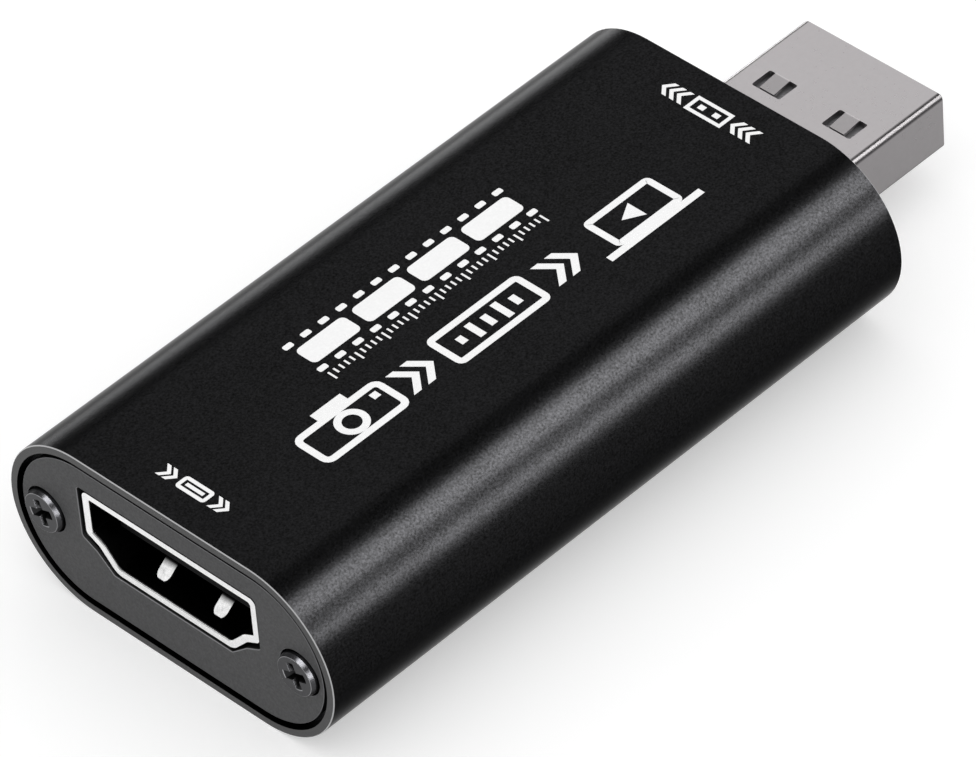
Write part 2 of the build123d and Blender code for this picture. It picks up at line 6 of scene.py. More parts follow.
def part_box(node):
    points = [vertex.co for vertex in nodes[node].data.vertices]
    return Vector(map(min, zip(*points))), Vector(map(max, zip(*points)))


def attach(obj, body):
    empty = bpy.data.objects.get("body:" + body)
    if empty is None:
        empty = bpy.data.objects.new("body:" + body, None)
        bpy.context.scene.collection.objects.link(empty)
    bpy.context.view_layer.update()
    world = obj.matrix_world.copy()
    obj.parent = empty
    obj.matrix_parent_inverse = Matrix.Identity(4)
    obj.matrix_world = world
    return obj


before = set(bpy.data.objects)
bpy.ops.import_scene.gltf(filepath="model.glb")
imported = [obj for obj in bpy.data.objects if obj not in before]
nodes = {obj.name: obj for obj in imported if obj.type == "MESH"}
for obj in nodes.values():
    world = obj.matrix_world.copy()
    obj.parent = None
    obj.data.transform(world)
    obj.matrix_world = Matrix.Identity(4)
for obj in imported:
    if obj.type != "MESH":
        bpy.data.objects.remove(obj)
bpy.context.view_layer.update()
print("frame loaded:", len(nodes), "nodes")

mm = 0.001  # the scene is in metres, the values below are in millimetres


# Camera

photoView = {
    "azimuth": -42.55,  # degrees round the box
    "elevation": 42.49,
    "roll": 5.09,
    "distance": 500.5,  # from the point that it aims at
    "aim": (-6.335, 0.0, 6.5),
    "focalPixels": 8040.0,
    "imageWidth": 976.0,
    "axisOffset": (-26.7, -6.1),  # pixels from the image's middle to the lens axis
    "sensorWidth": 36.0,
    "clip": (0.01, 20.0),  # metres
}


def makeCamera(values):
    azimuth, elevation, roll = (math.radians(values[k]) for k in ("azimuth", "elevation", "roll"))
    flat = math.cos(elevation)
    back = Vector((math.sin(azimuth) * flat, -math.cos(azimuth) * flat, math.sin(elevation)))
    right = Vector((math.cos(azimuth), math.sin(azimuth), 0.0))
    up = back.cross(right)
    across = right * math.cos(roll) - up * math.sin(roll)
    above = right * math.sin(roll) + up * math.cos(roll)
    data = bpy.data.cameras.new("photoCamera")
    data.sensor_width = values["sensorWidth"]
    data.lens = values["focalPixels"] / values["imageWidth"] * values["sensorWidth"]
    data.shift_x = -values["axisOffset"][0] / values["imageWidth"]
    data.shift_y = values["axisOffset"][1] / values["imageWidth"]
    data.clip_start, data.clip_end = values["clip"]
    camera = bpy.data.objects.new("photoCamera", data)
    bpy.context.scene.collection.objects.link(camera)
    camera.matrix_world = Matrix.Translation(
        Vector(values["aim"]) * mm + back * values["distance"] * mm
    ) @ Matrix((across, above, back)).transposed().to_4x4()
    bpy.context.scene.camera = camera


makeCamera(photoView)
bpy.context.scene.view_settings.view_transform = "Standard"
print("camera placed")


# Node helpers

def toLinear(hexColour):
    parts = [int(hexColour[i : i + 2], 16) / 255 for i in (1, 3, 5)]
    return [v / 12.92 if v <= 0.04045 else ((v + 0.055) / 1.055) ** 2.4 for v in parts] + [1.0]


def addNode(tree, kind, settings=None, values=None, links=None):
    node = tree.nodes.new(kind)
    for key, value in (settings or {}).items():
        setattr(node, key, value)
    for key, value in (values or {}).items():
        node.inputs[key].default_value = value
    for key, socket in (links or {}).items():
        tree.links.new(socket, node.inputs[key])
    return node


def perMm(size):
    return 1000.0 / size  # texture scale for features of this many millimetres


# Studio

studio = {
    "floorColour": "#DCDCDC",
    "floorSize": 3000.0,
    "floorLift": 0.4,  # added for the camera, so that the pale floor comes out white
    "skyOnObject": 0.97,
    "skyHorizon": 1.0,
    "skyTop": 0.32,
    "skyHeights": (0.04, 0.5),  # heights of the direction between which the sky dims
    "lamps": [
        # share of the way that goes along the box, degrees from straight up towards the
        # far side, distance, length along the box, width across it, brightness
        ("upperStrip", 0.499, -32.5, 600.0, 180.0, 215.0, 23.0),
        ("lowerStrip", 0.499, -67.4, 600.0, 180.0, 110.0, 18.5),
        ("sidePanel", 0.499, -54.5, 600.0, 180.0, 500.0, 7.0),
        ("topSoftbox", 0.56, 34.3, 600.0, 260.0, 460.0, 1.4),
        ("backCard", 0.38, 93.0, 100.0, 100.0, 46.0, 11.0),
        ("screwTopLamp", -0.264, -7.5, 600.0, 150.0, 420.0, 26.0),
        ("screwSideLamp", -0.2, -76.0, 600.0, 150.0, 320.0, 30.0),
        ("mouthLamp", -0.53, 39.8, 600.0, 200.0, 200.0, 2.2),
    ],
}


def buildStudio(values):
    world = bpy.data.worlds.new("studioSky")
    bpy.context.scene.world = world
    world.use_nodes = True
    tree = world.node_tree
    tree.nodes.clear()
    direction = addNode(tree, "ShaderNodeTexCoord")
    height = addNode(
        tree, "ShaderNodeSeparateXYZ", links={0: direction.outputs["Generated"]}
    )
    shown = addNode(
        tree, "ShaderNodeMapRange", {"interpolation_type": "SMOOTHSTEP"},
        {"From Min": values["skyHeights"][0], "From Max": values["skyHeights"][1],
         "To Min": values["skyHorizon"], "To Max": values["skyTop"]},
        {"Value": height.outputs["Z"]},
    )
    level = addNode(
        tree, "ShaderNodeMix", {"data_type": "FLOAT"}, {2: values["skyOnObject"]},
        {0: seenDirectly(tree), 3: shown.outputs[0]},
    )
    sky = addNode(
        tree, "ShaderNodeBackground", values={"Color": toLinear("#FFFFFF")},
        links={"Strength": level.outputs[0]},
    )
    addNode(tree, "ShaderNodeOutputWorld", links={"Surface": sky.outputs[0]})

    clearSelection()
    bpy.ops.mesh.primitive_plane_add(size=values["floorSize"] * mm, location=(0, 0, 0))
    floor = bpy.context.object
    floor.name = "studioFloor"
    paint = bpy.data.materials.new("paleFloorPaint")
    paint.use_nodes = True
    tree = paint.node_tree
    tree.nodes.clear()
    matt = addNode(
        tree, "ShaderNodeBsdfDiffuse", values={"Color": toLinear(values["floorColour"])}
    )
    lift = addNode(
        tree, "ShaderNodeMath", {"operation": "MULTIPLY"}, {1: values["floorLift"]},
        {0: seenDirectly(tree)},
    )
    glow = addNode(tree, "ShaderNodeEmission", links={"Strength": lift.outputs[0]})
    both = addNode(
        tree, "ShaderNodeAddShader", links={0: matt.outputs[0], 1: glow.outputs[0]}
    )
    under = addNode(tree, "ShaderNodeNewGeometry")
    clear = addNode(tree, "ShaderNodeBsdfTransparent")
    oneSided = addNode(
        tree, "ShaderNodeMixShader",
        links={0: under.outputs["Backfacing"], 1: both.outputs[0], 2: clear.outputs[0]},
    )
    addNode(tree, "ShaderNodeOutputMaterial", links={"Surface": oneSided.outputs[0]})
    floor.data.materials.append(paint)

    for name, lean, angle, distance, length, width, brightness in values["lamps"]:
        data = bpy.data.lights.new(name, "AREA")
        data.shape = "RECTANGLE"
        data.size, data.size_y = length * mm, width * mm
        data.energy = brightness * math.pi * data.size * data.size_y
        lamp = bpy.data.objects.new(name, data)
        bpy.context.scene.collection.objects.link(lamp)
        upright = math.sqrt(1 - lean ** 2)
        turn = math.radians(angle)
        away = Vector((lean, upright * math.sin(turn), upright * math.cos(turn)))
        along = (Vector((1, 0, 0)) - away * away.x).normalized()
        lamp.matrix_world = Matrix.Translation(
            Vector(photoView["aim"]) * mm + away * distance * mm
        ) @ Matrix((along, away.cross(along), away)).transposed().to_4x4()
        lamp.visible_camera = False
        lamp.visible_diffuse = False  # the lamps only draw the highlights, the sky lights the rest


def seenDirectly(tree):
    # 1 where a surface is seen by the camera, in a reflection or through glass
    path = addNode(tree, "ShaderNodeLightPath")
    either = addNode(
        tree, "ShaderNodeMath", {"operation": "MAXIMUM"},
        links={0: path.outputs["Is Camera Ray"], 1: path.outputs["Is Glossy Ray"]},
    )
    return addNode(
        tree, "ShaderNodeMath", {"operation": "MAXIMUM"},
        links={0: either.outputs[0], 1: path.outputs["Is Transmission Ray"]},
    ).outputs[0]


def clearSelection():
    bpy.ops.object.select_all(action="DESELECT")


buildStudio(studio)
print("studio built")


# Finishes

noises = {
    "grain": {"Detail": 3.0, "Roughness": 0.6},
    "cloud": {"Detail": 2.0, "Roughness": 0.5},
    "span": {"From Min": 0.3, "From Max": 0.7},  # nearly all values of a noise lie in it
    "cloudShare": 0.3,
}


def makeFinish(values):
    # a colour that wanders between two tones, a roughness and a relief from the same grain
    material = bpy.data.materials.new(values["name"])
    material.use_nodes = True
    tree = material.node_tree
    tree.nodes.clear()
    place = addNode(tree, "ShaderNodeTexCoord")
    stretched = addNode(
        tree, "ShaderNodeMapping", values={"Scale": values.get("stretch", (1, 1, 1))},
        links={"Vector": place.outputs["Object"]},
    )
    grain = addNode(
        tree, "ShaderNodeTexNoise",
        values={"Scale": perMm(values["grain"]), **noises["grain"]},
        links={"Vector": stretched.outputs[0]},
    )
    cloud = addNode(
        tree, "ShaderNodeTexNoise",
        values={"Scale": perMm(values["cloud"]), **noises["cloud"]},
        links={"Vector": place.outputs["Object"]},
    )
    blend = addNode(
        tree, "ShaderNodeMix", {"data_type": "FLOAT"},
        {0: values.get("cloudShare", noises["cloudShare"])},
        {2: grain.outputs["Fac"], 3: cloud.outputs["Fac"]},
    )
    spread = addNode(
        tree, "ShaderNodeMapRange", values=noises["span"], links={"Value": blend.outputs[0]}
    )
    colour = addNode(
        tree, "ShaderNodeMix", {"data_type": "RGBA"},
        {6: toLinear(values["colours"][0]), 7: toLinear(values["colours"][1])},
        {0: spread.outputs[0]},
    )
    roughness = addNode(
        tree, "ShaderNodeMapRange",
        values={"To Min": values["roughness"][0], "To Max": values["roughness"][1]},
        links={"Value": spread.outputs[0]},
    )
    shader = addNode(
        tree, "ShaderNodeBsdfPrincipled",
        values={"Metallic": values.get("metallic", 0.0)},
        links={"Base Color": colour.outputs[2], "Roughness": roughness.outputs[0]},
    )
    if values["relief"]:
        relief = addNode(
            tree, "ShaderNodeBump",
            values={"Strength": 1.0, "Distance": values["relief"] * mm},
            links={"Height": grain.outputs["Fac"]},
        )
        tree.links.new(relief.outputs[0], shader.inputs["Normal"])
    for key, value in values.get("shader", {}).items():
        shader.inputs[key].default_value = value
    addNode(tree, "ShaderNodeOutputMaterial", links={"Surface": shader.outputs[0]})
    return {
        "material": material, "tree": tree, "shader": shader, "place": place,
        "colour": colour.outputs[2], "spread": spread.outputs[0],
    }


def dress(nodeNames, finish):
    for name in nodeNames:
        piece = nodes[name]
        if not piece.material_slots:
            piece.data.materials.append(finish["material"])
        for place in piece.material_slots:
            place.material = finish["material"]


# Aluminium extrusion, bead blasted and dyed black: satin metal with a fine dry speckle,
# its dyed film swallows most of what bare metal would mirror at a slant
caseFinish = {
    "name": "blackAnodisedAluminium",
    "colours": ("#0A0A0A", "#1E1E1F"),
    "grain": 0.15,
    "cloud": 6.0,
    "cloudShare": 0.1,
    "roughness": (0.245, 0.255),
    "relief": 0.00025,
    "metallic": 1.0,
    "shader": {"Specular Tint": toLinear("#BCBCBC")},
    "paintedLitFaceColours": ("#1C1C1D", "#2C2C2D"),  # painted light: the sawn end faces made grey as lit faces
    "edgeHighlightColour": "#B4B4B5",  # painted highlight along the end's bevelled edge
}

# Sheet aluminium, punched, blasted and dyed black with an even grain: painted light makes its
# faces that look along the box grey and their bevelled edges a lighter painted highlight, and it
# stays black where it was cut
plateFinish = {
    "name": "greyBlastedPlate",
    "colours": ("#050505", "#101011"),
    "grain": 0.15,
    "cloud": 5.0,
    "cloudShare": 0.1,
    "roughness": (0.5, 0.62),
    "relief": 0.004,
    "shader": {"IOR": 1.5, "Specular IOR Level": 0.2},
    # painted light on the faces that look along the box, painted highlight on their bevelled edges
    "paintedLitFaceColours": ("#363637", "#525253"),
    "edgeHighlightColour": "#7A7A7C",
}


# how squarely a surface has to face along the box to get the painted light of an end face or the
# painted highlight of its bevelled edge
paintedLightFacing = {"face": 0.9, "edge": 0.4}


def makePaintedEndLightFinish(values):
    # faces square to the box's length get a painted-light grey, their bevelled edges a lighter
    # painted highlight
    finish = makeFinish(values)
    tree = finish["tree"]
    normal = addNode(tree, "ShaderNodeSeparateXYZ", links={0: finish["place"].outputs["Normal"]})
    facing = addNode(
        tree, "ShaderNodeMath", {"operation": "ABSOLUTE"}, links={0: normal.outputs["X"]}
    )
    paintedLitFace = addNode(
        tree, "ShaderNodeMath", {"operation": "GREATER_THAN"}, {1: paintedLightFacing["face"]},
        {0: facing.outputs[0]},
    )
    paintedLitEdge = addNode(
        tree, "ShaderNodeMath", {"operation": "GREATER_THAN"}, {1: paintedLightFacing["edge"]},
        {0: facing.outputs[0]},
    )
    face = addNode(
        tree, "ShaderNodeMix", {"data_type": "RGBA"},
        {6: toLinear(values["paintedLitFaceColours"][0]), 7: toLinear(values["paintedLitFaceColours"][1])},
        {0: finish["spread"]},
    )
    grey = addNode(
        tree, "ShaderNodeMix", {"data_type": "RGBA"}, {6: toLinear(values["edgeHighlightColour"])},
        {0: paintedLitFace.outputs[0], 7: face.outputs[2]},
    )
    whole = addNode(
        tree, "ShaderNodeMix", {"data_type": "RGBA"},
        links={0: paintedLitEdge.outputs[0], 6: finish["colour"], 7: grey.outputs[2]},
    )
    tree.links.new(whole.outputs[2], finish["shader"].inputs["Base Color"])
    metallicOffLit = addNode(
        tree, "ShaderNodeMapRange",
        values={"To Min": values.get("metallic", 0.0), "To Max": 0.0},
        links={"Value": paintedLitEdge.outputs[0]},
    )
    tree.links.new(metallicOffLit.outputs[0], finish["shader"].inputs["Metallic"])
    return finish


dress(["outer_shell"], makePaintedEndLightFinish(caseFinish))
dress(["input_end_plate", "output_end_plate"], makePaintedEndLightFinish(plateFinish))

# Steel with a dark nickel plate: grey faces with a pale painted highlight on the rim, dark turned
# sides that shine where a lamp meets them, and painted shade in the driver recess
screwFinish = {
    "name": "darkNickelSteel",
    "colours": ("#38383A", "#444446"),
    "grain": 0.12,
    "cloud": 0.8,
    "roughness": (0.26, 0.32),
    "relief": 0.0003,
    "metallic": 1.0,
    "faceColour": "#38383A",
    "rimHighlightColour": "#8E8E90",
    "recessShadeColour": "#2A2A2B",
    "recessRadius": 1.2,
    "recessLip": 0.04,
    "flatFacing": 0.95,  # how squarely the head's flat face and its painted-highlight rim look along the box
    "rimHighlightFacing": 0.5,
}


def makeScrewFinish(values):
    finish = makeFinish(values)
    tree = finish["tree"]
    low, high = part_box("input_plate_screws")
    outLow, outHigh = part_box("output_plate_screws")
    middle = Vector(((low.x + outHigh.x) / 2, 0, (low.z + high.z) / 2))
    reach = middle.x - low.x
    aside = (high.y - low.y) / 2 - (high.z - low.z) / 2  # from the box's middle to a screw
    where = addNode(tree, "ShaderNodeSeparateXYZ", links={0: finish["place"].outputs["Object"]})
    along = addNode(
        tree, "ShaderNodeMath", {"operation": "SUBTRACT"}, {1: middle.x}, {0: where.outputs["X"]}
    )
    outwards = addNode(
        tree, "ShaderNodeMath", {"operation": "ABSOLUTE"}, links={0: along.outputs[0]}
    )
    # painted shade: the driver recess goes dark below the face
    sunk = addNode(
        tree, "ShaderNodeMath", {"operation": "LESS_THAN"},
        {1: reach - values["recessLip"] * mm}, {0: outwards.outputs[0]},
    )
    across = addNode(
        tree, "ShaderNodeMath", {"operation": "ABSOLUTE"}, links={0: where.outputs["Y"]}
    )
    fromAxis = addNode(
        tree, "ShaderNodeCombineXYZ", links={"X": across.outputs[0], "Y": where.outputs["Z"]}
    )
    radius = addNode(
        tree, "ShaderNodeVectorMath", {"operation": "DISTANCE"}, {1: (aside, middle.z, 0)},
        {0: fromAxis.outputs[0]},
    )
    inner = addNode(
        tree, "ShaderNodeMath", {"operation": "LESS_THAN"}, {1: values["recessRadius"] * mm},
        {0: radius.outputs["Value"]},
    )
    recess = addNode(
        tree, "ShaderNodeMath", {"operation": "MULTIPLY"},
        links={0: sunk.outputs[0], 1: inner.outputs[0]},
    )
    normal = addNode(tree, "ShaderNodeSeparateXYZ", links={0: finish["place"].outputs["Normal"]})
    facing = addNode(
        tree, "ShaderNodeMath", {"operation": "ABSOLUTE"}, links={0: normal.outputs["X"]}
    )
    flat = addNode(
        tree, "ShaderNodeMath", {"operation": "GREATER_THAN"}, {1: values["flatFacing"]},
        {0: facing.outputs[0]},
    )
    rim = addNode(
        tree, "ShaderNodeMath", {"operation": "GREATER_THAN"}, {1: values["rimHighlightFacing"]},
        {0: facing.outputs[0]},
    )
    # painted highlight on the head's rounded rim
    rimHighlighted = addNode(
        tree, "ShaderNodeMix", {"data_type": "RGBA"}, {7: toLinear(values["rimHighlightColour"])},
        {0: rim.outputs[0], 6: finish["colour"]},
    )
    head = addNode(
        tree, "ShaderNodeMix", {"data_type": "RGBA"}, {7: toLinear(values["faceColour"])},
        {0: flat.outputs[0], 6: rimHighlighted.outputs[2]},
    )
    whole = addNode(
        tree, "ShaderNodeMix", {"data_type": "RGBA"}, {7: toLinear(values["recessShadeColour"])},
        {0: recess.outputs[0], 6: head.outputs[2]},
    )
    tree.links.new(whole.outputs[2], finish["shader"].inputs["Base Color"])
    return finish


dress(["input_plate_screws", "output_plate_screws"], makeScrewFinish(screwFinish))

# Drawn sheet steel, bright nickel: clean white metal at the mouth, with painted shade that makes
# it dark further inside
socketFinish = {
    "name": "brightNickelSheet",
    "colours": ("#E6E6E6", "#F4F4F4"),
    "grain": 0.25,
    "cloud": 2.0,
    "roughness": (0.2, 0.26),
    "relief": 0.0002,
    "metallic": 1.0,
    "insideShadeColour": "#1E1E1E",
    "shadeDepths": (0.1, 0.16),  # behind the mouth, between which the bright metal goes over into painted shade
}

# the springs get the same painted shade, deeper in
springFinish = dict(
    socketFinish, name="brightNickelSpring", colours=("#8E8E8E", "#C0C0C0"), grain=0.3,
    shadeDepths=(1.9, 2.25), insideShadeColour="#0A0A0A",
)


def makeSocketFinish(values):
    finish = makeFinish(values)
    tree = finish["tree"]
    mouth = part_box("socket_shell")[0].x
    where = addNode(tree, "ShaderNodeSeparateXYZ", links={0: finish["place"].outputs["Object"]})
    start, end = (mouth + depth * mm for depth in values["shadeDepths"])
    # painted shade: the colour goes dark with depth into the socket
    inside = addNode(
        tree, "ShaderNodeMapRange", values={"From Min": start, "From Max": end},
        links={"Value": where.outputs["X"]},
    )
    whole = addNode(
        tree, "ShaderNodeMix", {"data_type": "RGBA"}, {7: toLinear(values["insideShadeColour"])},
        {0: inside.outputs[0], 6: finish["colour"]},
    )
    tree.links.new(whole.outputs[2], finish["shader"].inputs["Base Color"])
    return finish


springNames = [n for n in nodes if n.endswith(("spring_left", "spring_right"))]
dress(["socket_shell"], makeSocketFinish(socketFinish))
dress(springNames, makeSocketFinish(springFinish))

# Rolled sheet steel, satin nickel: even warm grey. Painted light and shade by how far a surface
# tilts from straight up gives its folded corners a painted highlight on their crest and painted
# shade on either side of it, and darkens the sides; a painted highlight lies along the tabs' bends
plugFinish = {
    "name": "satinNickelSheet",
    "colours": ("#8F8C8D", "#939091"),
    "grain": 0.5,
    "cloud": 4.0,
    "roughness": (0.27, 0.29),
    "relief": 0.0,
    "metallic": 1.0,
    # degrees from straight up round a fold, and the share of the sheet's colour left there as
    # painted light and shade
    "paintedTiltShading": [
        (0, 1.0), (3, 1.0), (5, 0.7), (9, 0.35), (14, 0.25), (23, 0.25), (28, 0.28),
        (34, 0.19), (40, 0.2), (45, 0.39), (50, 0.13), (55, 0.04), (62, 0.08), (70, 0.2),
        (79, 0.5), (85, 0.82), (90, 0.82),
    ],
    # a painted highlight along the line where the tabs are bent
    "creaseSetback": 5.3,  # from the plug's tip to where the tabs are bent
    "creaseWidth": 0.1,
    "creaseShift": 0.12,
    "creaseOffset": 3.03,
    "creaseLength": 1.24,
    "creaseHighlightGain": 1.3,
    "tabTilt": (5.9, 2.5),  # the tabs' slope in degrees, and how far off it may be
    "tabLightGain": 1.38,  # painted light: gives back to the tabs the brightness that the tilt shading takes off them
}


def makePlugFinish(values):
    finish = makeFinish(values)
    tree = finish["tree"]
    normal = addNode(tree, "ShaderNodeSeparateXYZ", links={0: finish["place"].outputs["Normal"]})
    # painted light and shade from how far the surface tilts from straight up
    upright = addNode(
        tree, "ShaderNodeMath", {"operation": "ABSOLUTE"}, links={0: normal.outputs["Z"]}
    )
    tilt = addNode(
        tree, "ShaderNodeMath", {"operation": "ARCCOSINE"}, links={0: upright.outputs[0]}
    )
    turned = addNode(
        tree, "ShaderNodeMapRange",
        values={"From Max": math.radians(values["paintedTiltShading"][-1][0])},
        links={"Value": tilt.outputs[0]},
    )
    tiltShadingRamp = addNode(tree, "ShaderNodeValToRGB", links={"Fac": turned.outputs[0]})
    stops = tiltShadingRamp.color_ramp.elements  # a new ramp has one stop at each end
    lastAngle = values["paintedTiltShading"][-1][0]
    for angle, shade in values["paintedTiltShading"]:
        if 0 < angle < lastAngle:
            stop = stops.new(angle / lastAngle)
        else:
            stop = stops[-1] if angle else stops[0]
        stop.color = (shade, shade, shade, 1)
    where = addNode(tree, "ShaderNodeSeparateXYZ", links={0: finish["place"].outputs["Object"]})
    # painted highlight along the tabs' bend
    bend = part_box("plug_shell")[1].x - values["creaseSetback"] * mm
    atBend = addNode(
        tree, "ShaderNodeMath", {"operation": "COMPARE"},
        {1: bend, 2: values["creaseWidth"] / 2 * mm}, {0: where.outputs["X"]},
    )
    shifted = addNode(
        tree, "ShaderNodeMath", {"operation": "SUBTRACT"}, {1: values["creaseShift"] * mm},
        {0: where.outputs["Y"]},
    )
    aside = addNode(
        tree, "ShaderNodeMath", {"operation": "ABSOLUTE"}, links={0: shifted.outputs[0]}
    )
    onTab = addNode(
        tree, "ShaderNodeMath", {"operation": "COMPARE"},
        {1: values["creaseOffset"] * mm, 2: values["creaseLength"] / 2 * mm},
        {0: aside.outputs[0]},
    )
    crease = addNode(
        tree, "ShaderNodeMath", {"operation": "MULTIPLY"},
        links={0: atBend.outputs[0], 1: onTab.outputs[0]},
    )
    gain = addNode(
        tree, "ShaderNodeMapRange", values={"To Min": 1.0, "To Max": values["creaseHighlightGain"]},
        links={"Value": crease.outputs[0]},
    )
    slope, slopeRange = (math.radians(v) for v in values["tabTilt"])
    sloping = addNode(
        tree, "ShaderNodeMath", {"operation": "COMPARE"}, {1: slope, 2: slopeRange},
        {0: tilt.outputs[0]},
    )
    tab = addNode(
        tree, "ShaderNodeMath", {"operation": "MULTIPLY"},
        links={0: sloping.outputs[0], 1: onTab.outputs[0]},
    )
    tabLightGain = addNode(
        tree, "ShaderNodeMapRange", values={"To Min": 1.0, "To Max": values["tabLightGain"]},
        links={"Value": tab.outputs[0]},
    )
    bothGains = addNode(
        tree, "ShaderNodeMath", {"operation": "MULTIPLY"},
        links={0: gain.outputs[0], 1: tabLightGain.outputs[0]},
    )
    shaded = addNode(
        tree, "ShaderNodeMix", {"data_type": "RGBA", "blend_type": "MULTIPLY"}, {0: 1.0},
        {6: finish["colour"], 7: tiltShadingRamp.outputs["Color"]},
    )
    whole = addNode(
        tree, "ShaderNodeVectorMath", {"operation": "SCALE"},
        links={0: shaded.outputs[2], "Scale": bothGains.outputs[0]},
    )
    tree.links.new(whole.outputs[0], finish["shader"].inputs["Base Color"])
    return finish


dress(["plug_shell"], makePlugFinish(plugFinish))

# Glass-filled nylon, moulded black: dull, with a faint flow pattern
nylonFinish = {
    "name": "blackGlassNylon",
    "colours": ("#030303", "#070708"),
    "grain": 0.2,
    "cloud": 1.5,
    "roughness": (0.4, 0.55),
    "relief": 0.002,
    "shader": {"IOR": 1.53, "Specular IOR Level": 0.05},
}
dress(["socket_insulator"], makeFinish(nylonFinish))

# Thermoplastic polyester, moulded dark grey: even and slightly waxy
polyesterFinish = {
    "name": "greyPolyester",
    "colours": ("#7C7B7D", "#8A898C"),
    "grain": 0.25,
    "cloud": 2.0,
    "roughness": (0.4, 0.5),
    "relief": 0.002,
    "shader": {"IOR": 1.57},
}
dress(["plug_insulator"], makeFinish(polyesterFinish))

# Phosphor bronze with a thin gold plate: warm yellow, polished
goldFinish = {
    "name": "goldPlatedBronze",
    "colours": ("#D9A94A", "#EBC06A"),
    "grain": 0.1,
    "cloud": 1.0,
    "roughness": (0.18, 0.28),
    "relief": 0.0005,
    "metallic": 1.0,
}
dress(["socket_upper_contacts", "socket_lower_contacts", "plug_contacts"], makeFinish(goldFinish))

# Glass laminate under a green solder mask: glossy green with the weave just showing
boardFinish = {
    "name": "greenSolderMask",
    "colours": ("#0F4A2A", "#17603A"),
    "grain": 0.5,
    "cloud": 3.0,
    "roughness": (0.25, 0.38),
    "relief": 0.004,
    "shader": {"IOR": 1.5},
}
dress(["circuit_board"], makeFinish(boardFinish))

# Moulded epoxy resin: near black, slightly pitted
resinFinish = {
    "name": "mouldedEpoxyResin",
    "colours": ("#151516", "#242425"),
    "grain": 0.08,
    "cloud": 1.0,
    "roughness": (0.5, 0.65),
    "relief": 0.004,
    "shader": {"IOR": 1.55},
}
dress(["video_chip", "memory_chip", "voltage_regulator", "surge_guards"], makeFinish(resinFinish))

# Copper leads dipped in tin: soft bright grey
tinFinish = {
    "name": "tinnedCopper",
    "colours": ("#B9BABB", "#D6D7D8"),
    "grain": 0.12,
    "cloud": 0.6,
    "roughness": (0.28, 0.42),
    "relief": 0.002,
    "metallic": 1.0,
}
tinned = ["video_chip_leads", "memory_chip_leads", "regulator_leads", "inductor_terminals"]
dress(tinned + ["solder_caps"], makeFinish(tinFinish))

# Fired alumina: warm brown grey with a dry grain
crystalFinish = {
    "name": "firedAlumina",
    "colours": ("#5A4A3C", "#6C5A4A"),
    "grain": 0.06,
    "cloud": 0.8,
    "roughness": (0.55, 0.7),
    "relief": 0.003,
    "shader": {"IOR": 1.76},
}
dress(["crystal_base"], makeFinish(crystalFinish))

# Pressed nickel alloy lid: pale metal with a fine brush
lidFinish = {
    "name": "pressedNickelLid",
    "colours": ("#C8C4BA", "#DAD6CC"),
    "grain": 0.15,
    "cloud": 1.0,
    "stretch": (0.15, 1.0, 1.0),
    "roughness": (0.25, 0.35),
    "relief": 0.001,
    "metallic": 1.0,
}
dress(["crystal_lid"], makeFinish(lidFinish))

# Pressed ferrite powder: dark grey, matt and faintly sparkling
ferriteFinish = {
    "name": "pressedFerrite",
    "colours": ("#2B2B2D", "#414143"),
    "grain": 0.07,
    "cloud": 0.7,
    "roughness": (0.55, 0.75),
    "relief": 0.005,
    "shader": {"IOR": 1.6},
}
dress(["power_inductor"], makeFinish(ferriteFinish))

# Fired titanate ceramic: tan, smooth
capacitorFinish = {
    "name": "firedTitanate",
    "colours": ("#8A6A48", "#A07E58"),
    "grain": 0.05,
    "cloud": 0.4,
    "roughness": (0.4, 0.55),
    "relief": 0.001,
    "shader": {"IOR": 1.7},
}
dress(["capacitors"], makeFinish(capacitorFinish))

# Alumina chip under a black glaze: dark and slightly glossy
resistorFinish = {
    "name": "glazedAlumina",
    "colours": ("#161618", "#252528"),
    "grain": 0.08,
    "cloud": 0.4,
    "roughness": (0.3, 0.45),
    "relief": 0.001,
    "shader": {"IOR": 1.55},
}
dress(["resistors"], makeFinish(resistorFinish))
print("CAD nodes dressed")


# Screen print

# White epoxy ink, screen printed: opaque, slightly chalky, a few microns thick
inkFinish = {
    "name": "whiteScreenInk",
    "colours": ("#F2F2F2", "#FBFBFB"),
    "grain": 0.2,
    "cloud": 1.5,
    "roughness": (0.45, 0.6),
    "relief": 0.001,
    "shader": {"IOR": 1.5, "Specular IOR Level": 0.3},
}
whiteInk = makeFinish(inkFinish)

ink = {
    "sunk": 0.01,  # into the case, so that no gap shows
    "proud": 0.012,
    "cornerSteps": 4,
    "ringSides": 48,
}


def selectVerts(piece, test):
    bpy.ops.mesh.select_all(action="DESELECT")
    bpy.ops.object.mode_set(mode="OBJECT")
    for vertex in piece.data.vertices:
        vertex.select = test(vertex.co)
    bpy.ops.object.mode_set(mode="EDIT")


def inkPlate(u, v, length, height, corner=0.0):
    # shapes are drawn flat, u along the way the mark reads and v up it
    clearSelection()
    bpy.ops.mesh.primitive_plane_add(size=1, location=(0, 0, 0))
    plate = bpy.context.object
    bpy.ops.object.mode_set(mode="EDIT")
    bpy.ops.mesh.select_mode(type="VERT")
    bpy.ops.transform.resize(value=(length * mm, height * mm, 1))
    bpy.ops.transform.translate(value=(u * mm, v * mm, 0))
    if corner:
        bpy.ops.mesh.bevel(
            offset=corner * mm, segments=ink["cornerSteps"], affect="VERTICES"
        )
    bpy.ops.object.mode_set(mode="OBJECT")
    return plate


